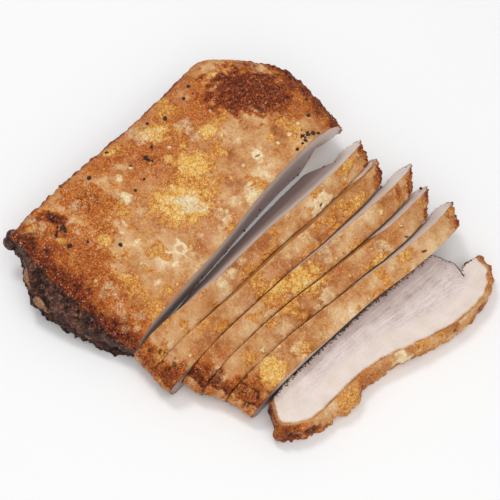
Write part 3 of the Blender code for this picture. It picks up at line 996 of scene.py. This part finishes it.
# loose bits: cracked pepper, charred crumbs and the burnt knobs at the corners
bits = {
    # X and Y
    "pepper": (
        (-105, 42), (-110, 51), (-102, 22), (-108, 11), (-93, 1), (-90, -7), (-87, -7), (-93, -18),
        (-80, -18), (-78, -28), (-23, 75), (-23, 72), (-22, 66), (-53, 118), (-48, 102), (-37, 92),
        (-22, 86), (-70, -76), (-76, -86), (-95, -101), (-55, -62), (-88, -81), (-88, -87), (-103, -45),
        (-111, -23), (-86, -81), (-91, -83), (-26, 80), (-24, 83), (-27, 76)),
    "pepperSize": (2.4, 4.0),
    "crumbSize": (1.0, 2.5),
    "edgeSize": (0.6, 1.4),
    "gapSize": (0.8, 2.0),
    "endSize": (1.4, 3.4),
    # clusters on the rind: X, Y, spread, count
    "clusters": (
        (-25, 78, 3.5, 12), (-89, -8, 3.0, 7), (-88, -84, 3.5, 9), (-110, 104, 6.0, 16), (-75, 112, 8.0, 12)),
    # burnt knobs on the block's rind: across, share, level, size along X, Y and Z
    "knobs": ((0.0, 0.0, 0.86, 10, 9, 9), (0.0, 0.016, 0.98, 7, 8, 5), (0.24, 1.0, 1.0, 7, 5, 5)),
    "pepperLook": ((0.3, (18, 17, 20)), (0.6, (48, 42, 42)), (0.8, (96, 76, 60))),
    "crumbLook": ((0.3, (20, 9, 7)), (0.55, (70, 32, 18)), (0.8, (138, 78, 44))),
    "knobLook": ((0.3, (24, 9, 9)), (0.55, (64, 28, 22)), (0.8, (120, 70, 56))),
}
luck = random.Random(17)


def plainFinish(name, look, size, roughness, specular):
    finish = Finish(name)
    tone = finish.noise(finish.places(), size, 3.0, 0.6)
    rough = finish.ease(tone, 0.3, 0.7, *roughness)
    return finish.wear(finish.ramp(tone, look), rough, tone, 0.8, 0.0004, specular)


def straightBelow(pieces, x, y):
    # the highest point of the pieces at a place seen from above
    start = Vector((x, y, 90.0)) * mm + frameShift
    casts = [piece.ray_cast(start, Vector((0, 0, -1))) for piece in pieces]
    return max((place for hit, place, *_ in casts if hit), key=lambda place: place.z, default=None)


def brokenGrain():
    # a grain with a few broken faces, 1 m across
    bpy.ops.object.select_all(action="DESELECT")
    bpy.ops.mesh.primitive_ico_sphere_add(subdivisions=1, radius=0.5)
    grain = bpy.context.object
    breaks = (((0.3, 0, 0), (1, 0.3, 0.2)), ((0, -0.3, 0.1), (0.2, -1, 0.3)))
    bisect(grain, breaks, use_fill=True, clear_outer=True)
    return grain


def joined(name, parts, material):
    bpy.ops.object.select_all(action="DESELECT")
    for part in parts:
        part.select_set(True)
    bpy.context.view_layer.objects.active = parts[0]
    bpy.ops.object.join()
    bpy.ops.object.transform_apply(location=True, rotation=True, scale=True)
    piece = bpy.context.object
    piece.name = piece.data.name = name
    piece.data.materials.append(material)
    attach(piece, "root")
    print("made", name, len(piece.data.polygons), "faces")


def joinedGrains(name, spots, material):
    # spots are places in the frame with a size in millimetres
    grain = brokenGrain()
    copies = []
    for place, size in spots:
        copy = grain.copy()
        copy.data = grain.data.copy()
        bpy.context.collection.objects.link(copy)
        copy.location = place
        copy.scale = [size * mm * luck.uniform(0.6, 1.15) for _ in range(3)]
        copy.rotation_euler = [luck.uniform(0, math.tau) for _ in range(3)]
        copies.append(copy)
    bpy.data.objects.remove(grain)
    joined(name, copies, material)


def onePoint(place, across, share, level):
    return place(*(np.array([value]) for value in (across, share, level)))[0]


def scatter(count, place, spot, sizes, spread=0.6):
    # crumbs on a piece, where spot draws each one's across, share and level
    crumbs = []
    for _ in range(count):
        point = onePoint(place, *spot())
        shifted = Vector([value + luck.uniform(-spread, spread) for value in point]) * mm + frameShift
        crumbs.append((shifted, luck.uniform(*sizes)))
    return crumbs


def onRind(rinds, spots, sizes):
    # grains where the spots meet the rind, seen from above
    places = (straightBelow(rinds, x, y) for x, y in spots)
    return [(place, luck.uniform(*sizes)) for place in places if place]


def makeCrumbs(rinds):
    usual = bits["crumbSize"]
    crumbs = []
    for x, y, spread, count in bits["clusters"]:
        spots = ((x + luck.gauss(0, spread / 2), y + luck.gauss(0, spread / 2)) for _ in range(count))
        crumbs += onRind(rinds, spots, usual)
    # along the meat's edge of the lying slice, and down in the gap
    crumbs += scatter(75, placeLying, lambda: (
        0.0, luck.uniform(0.03, 0.88), luck.uniform(0.0, 0.02)), bits["edgeSize"])
    crumbs += scatter(30, placeInBlock, lambda: (
        1.0, luck.uniform(0.3, 0.9), luck.uniform(0.0, 0.3)), bits["gapSize"])
    # at the slices' far tips, under their curl and under their near ends
    for index in range(len(standingPieces)):
        place = partial(placeInSlice, index)
        crumbs += scatter(26, place, lambda: (
            luck.random(), 1 - 0.05 * luck.random() ** 2, luck.uniform(0.3, 1.0)), usual)
        crumbs += scatter(12, place, lambda: (
            luck.choice((0.0, 1.0)), luck.uniform(0.8, 0.9), luck.uniform(0.0, 0.1)), usual)
        crumbs += scatter(16, place, lambda: (luck.random(), 0.0, luck.uniform(0.05, 0.4)), usual)
    # under the block's charred end
    crumbs += scatter(90, placeInBlock, lambda: (
        luck.uniform(0.05, 1.0), 0.0, luck.uniform(0.05, 0.5) ** 1.3), bits["endSize"], 1.0)
    return [(Vector((p.x, p.y, max(p.z, size * 0.35 * mm))), size) for p, size in crumbs]


def makeBits():
    bpy.context.view_layer.update()
    rinds = [blockPiece] + standingPieces
    pepper = onRind(rinds, bits["pepper"], bits["pepperSize"])
    crumbs = makeCrumbs(rinds)
    pepperMaterial = plainFinish("cracked pepper", bits["pepperLook"], 0.8, (0.35, 0.6), 0.4)
    joinedGrains("cracked_pepper", pepper, pepperMaterial)
    crumbMaterial = plainFinish("charred crumb", bits["crumbLook"], 2.2, (0.3, 0.6), 0.4)
    joinedGrains("charred_crumbs", crumbs, crumbMaterial)


def makeKnobs():
    knobs = []
    for across, share, level, *sizes in bits["knobs"]:
        bpy.ops.mesh.primitive_ico_sphere_add(subdivisions=4, radius=0.5)
        knob = bpy.context.object
        points = read(knob.data.vertices, "co") * np.array(sizes)
        seat = onePoint(placeInBlock, across, share, level)
        lumps = 0.22 * roughNoise(points + seat, 2.6, 3, 61)
        writePoints(knob, points * (1 + lumps[:, None]) + seat)
        bpy.ops.object.shade_smooth()
        knobs.append(knob)
    joined("burnt_knobs", knobs, plainFinish("burnt knob", bits["knobLook"], 2.4, (0.2, 0.4), 0.5))


makeBits()
makeKnobs()


stage = {
    "floor": (252, 252, 252), "world": 0.5,
    # name, place in metres, size, power
    "lights": (
        ("softbox", (0.42, -0.05, 1.35), 1.2, 5.6), ("key", (-0.5, 0.1, 1.2), 0.3, 4.0),
        ("fill", (0.8, -0.8, 0.9), 0.8, 2.6)),
    "azimuth": 45.0, "elevation": 60.0, "distance": 0.860, "aim": (0.0, 0.0, 20.0), "lens": 95.3,
}


def aimed(direction):
    return direction.to_track_quat("-Z", "Y").to_euler()


def addLight(name, place, size, power):
    bpy.ops.object.light_add(type="AREA", location=place)
    light = bpy.context.object
    light.name = name
    light.data.shape = "SQUARE"
    light.data.size = size
    light.data.energy = power
    light.rotation_euler = aimed(-Vector(place))


def makeStage():
    bpy.ops.mesh.primitive_plane_add(size=6.0, location=(0, 0, -0.0002))
    floor = bpy.context.object
    floor.name = "floor"
    finish = Finish("floor")
    matt = {"Base Color": tint(*stage["floor"]), "Roughness": 0.9, "Specular IOR Level": 0.1}
    for name, value in matt.items():
        finish.feed(finish.shader.inputs[name], value)
    floor.data.materials.append(finish.material)
    world = bpy.data.worlds.new("studio")
    bpy.context.scene.world = world
    world.use_nodes = True
    background = world.node_tree.nodes["Background"]
    background.inputs["Color"].default_value = (1, 1, 1, 1)
    background.inputs["Strength"].default_value = stage["world"]
    for light in stage["lights"]:
        addLight(*light)
    azimuth, elevation = math.radians(stage["azimuth"]), math.radians(stage["elevation"])
    flat = math.cos(elevation)
    back = Vector((math.sin(azimuth) * flat, -math.cos(azimuth) * flat, math.sin(elevation)))
    target = Vector(stage["aim"]) * mm + frameShift
    bpy.ops.object.camera_add(location=target + back * stage["distance"])
    camera = bpy.context.object
    camera.rotation_euler = aimed(-back)
    camera.data.lens = stage["lens"]
    camera.data.sensor_width = 36.0
    bpy.context.scene.camera = camera
    bpy.context.scene.view_settings.view_transform = "Standard"


makeStage()
print("stage made")
